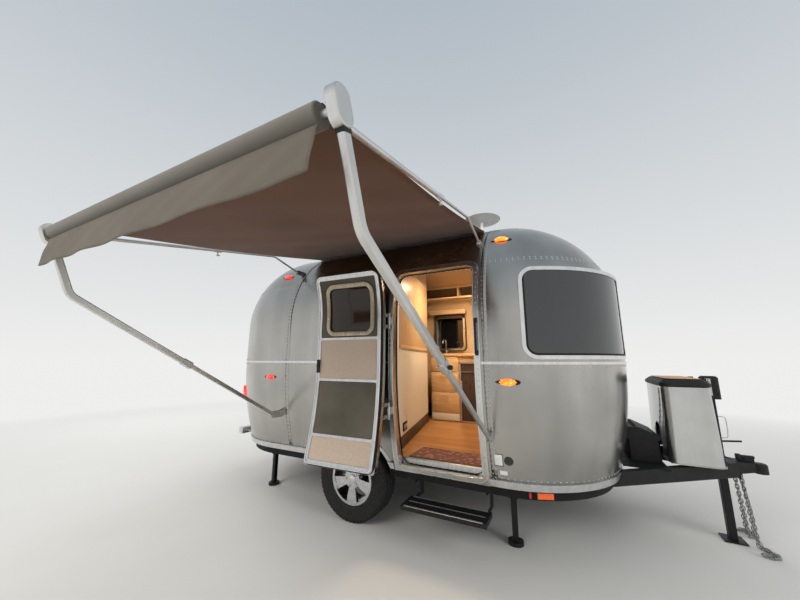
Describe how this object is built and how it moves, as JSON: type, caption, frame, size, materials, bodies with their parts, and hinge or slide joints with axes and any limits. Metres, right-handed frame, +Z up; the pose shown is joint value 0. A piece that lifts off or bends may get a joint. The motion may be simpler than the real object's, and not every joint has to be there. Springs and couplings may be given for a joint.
{
  "type": "travel caravan",
  "caption": "Rounded riveted-aluminium travel caravan on two wheels, parked on its nose jack and corner legs, door swung open and side awning rolled out.",
  "frame": {"origin": "centre of the base of the whole object's box, on the ground", "axes": "+X towards the hitch, +Z up, -Y towards the door and awning"},
  "size_m": [4.923, 4.2154, 2.815],
  "materials": {
    "body_skin": "clear-coated mill sheet",
    "bright_trim": "satin extrusion",
    "frame_metal": "satin extrusion",
    "window_glass": "dark tint",
    "floor_planks": "satin laminate",
    "black_steel": "satin black",
    "black_plastic": "textured",
    "alloy": "machined",
    "tyre": "moulded rubber",
    "awning_cloth": "woven acrylic",
    "awning_tube": "anodised",
    "gas_sheet": "brushed",
    "bottle_steel": "gloss",
    "amber_lens": "clear lens",
    "red_lens": "clear lens",
    "white_plastic": "moulded",
    "door_panel": "textured laminate",
    "screen_mesh": "woven mesh",
    "maple": "satin veneer",
    "counter_top": "laminate",
    "fridge_panel": "dark panel",
    "wall_panel": "laminate",
    "bed_cloth": "woven"
  },
  "bodies": {
    "root": {"curb_wall_lower": "body_skin", "curb_wall_upper": "body_skin", "road_wall_lower": "body_skin", "road_wall_upper": "body_skin", "roof_panel": "body_skin", "front_cap_upper": "body_skin", "rear_cap_upper": "body_skin", "front_cap_lower": "body_skin", "rear_cap_lower": "body_skin", "window_frames": "frame_metal", "window_glass": "window_glass", "body_mouldings": "bright_trim", "side_hatches": "frame_metal", "floor": "floor_planks", "belly_pan": "black_plastic", "chassis_frame": "black_steel", "draw_bar": "black_steel", "coupler": "black_steel", "jack_housing": "black_steel", "gas_cover": "gas_sheet", "gas_bottles": "bottle_steel", "battery_box": "black_plastic", "axle": "black_steel", "rear_bumper": "bright_trim", "amber_lamps": "amber_lens", "red_lamps": "red_lens", "door_frame": "frame_metal", "awning_mounts": "frame_metal", "awning_fabric": "awning_cloth", "underbody_mounts": "black_steel", "roof_fittings": "white_plastic", "roof_dish": "white_plastic", "interior_panels": "wall_panel", "kitchen_cabinets": "maple", "kitchen_counter": "counter_top", "fridge": "fridge_panel", "mattress": "bed_cloth"},
    "wheel_curb": {"wheel_curb_tyre": "tyre", "wheel_curb_rim": "alloy"},
    "wheel_road": {"wheel_road_tyre": "tyre", "wheel_road_rim": "alloy"},
    "entry_door": {"entry_door": "body_skin", "entry_door_glass": "window_glass", "screen_door": "frame_metal", "screen_door_panels": "door_panel", "screen_door_mesh": "screen_mesh"},
    "awning_arms": {"awning_arms_inner": "awning_tube"},
    "awning_head": {"awning_arms_outer": "awning_tube", "awning_roller": "awning_tube", "awning_valance": "awning_cloth"},
    "rafters": {"awning_rafters_inner": "awning_tube"},
    "rafter_ends": {"awning_rafters_outer": "awning_tube"},
    "gas_lid": {"gas_cover_lid": "black_plastic"},
    "jack_foot": {"jack_leg": "black_steel"},
    "entry_step": {"entry_step": "black_steel"},
    "vent_lid": {"roof_vent_lid": "white_plastic"},
    "leg_front_curb": {"leg_front_curb": "black_steel"},
    "leg_front_road": {"leg_front_road": "black_steel"},
    "leg_rear_curb": {"leg_rear_curb": "black_steel"},
    "leg_rear_road": {"leg_rear_road": "black_steel"}
  },
  "joints": [
    {"name": "wheel_curb_spin", "type": "hinge", "parent": "root", "child": "wheel_curb", "pos_m": [-0.5075, -0.15626, 0.33], "axis": [0, 1, 0], "continuous": true},
    {"name": "wheel_road_spin", "type": "hinge", "parent": "root", "child": "wheel_road", "pos_m": [-0.5075, 1.87874, 0.33], "axis": [0, 1, 0], "continuous": true},
    {"name": "door_swing", "type": "hinge", "parent": "root", "child": "entry_door", "pos_m": [-0.0715, -0.38176, 1.3], "axis": [0, 0, 1], "range_deg": [0, 178]},
    {"name": "awning_fold", "type": "hinge", "parent": "root", "child": "awning_arms", "pos_m": [-0.5075, -0.3986, 0.815], "axis": [-1, 0, 0], "range_deg": [0, 60.4], "deforming": ["awning_fabric", "awning_valance"]},
    {"name": "awning_reach", "type": "slide", "parent": "awning_arms", "child": "awning_head", "axis": [0, 0.8695, -0.494], "range_m": [0, 0.4719]},
    {"name": "rafter_swing", "type": "hinge", "parent": "root", "child": "rafters", "pos_m": [-0.5075, -0.24875, 2.235], "axis": [1, 0, 0], "range_deg": [0, 78.46]},
    {"name": "rafter_reach", "type": "slide", "parent": "rafters", "child": "rafter_ends", "axis": [0, 0.9796, 0.2009], "range_m": [0, 0.5005]},
    {"name": "gas_lid_hinge", "type": "hinge", "parent": "root", "child": "gas_lid", "pos_m": [2.146, 0.86124, 1.177], "axis": [0, 1, 0], "range_deg": [0, 95]},
    {"name": "jack_lift", "type": "slide", "parent": "root", "child": "jack_foot", "axis": [0, 0, 1], "range_m": [0, 0.275]},
    {"name": "step_slide", "type": "slide", "parent": "root", "child": "entry_step", "axis": [0, 1, 0], "range_m": [0, 0.3]},
    {"name": "vent_lid_hinge", "type": "hinge", "parent": "root", "child": "vent_lid", "pos_m": [-1.0185, 0.86124, 2.616], "axis": [0, 1, 0], "range_deg": [0, 65]},
    {"name": "leg_front_curb_fold", "type": "hinge", "parent": "root", "child": "leg_front_curb", "pos_m": [0.7565, 0.06124, 0.332], "axis": [0, -1, 0], "range_deg": [0, 84]},
    {"name": "leg_front_road_fold", "type": "hinge", "parent": "root", "child": "leg_front_road", "pos_m": [0.7565, 1.66124, 0.332], "axis": [0, -1, 0], "range_deg": [0, 84]},
    {"name": "leg_rear_curb_fold", "type": "hinge", "parent": "root", "child": "leg_rear_curb", "pos_m": [-1.7375, 0.06124, 0.332], "axis": [0, 1, 0], "range_deg": [0, 84]},
    {"name": "leg_rear_road_fold", "type": "hinge", "parent": "root", "child": "leg_rear_road", "pos_m": [-1.7375, 1.66124, 0.332], "axis": [0, 1, 0], "range_deg": [0, 84]}
  ],
  "couplings": [
    {"joint": "awning_reach", "follows": "awning_fold", "m_per_rad": 0.44714},
    {"joint": "rafter_swing", "follows": "awning_fold", "ratio": 1.2982},
    {"joint": "rafter_reach", "follows": "awning_fold", "m_per_rad": 0.47432}
  ]
}
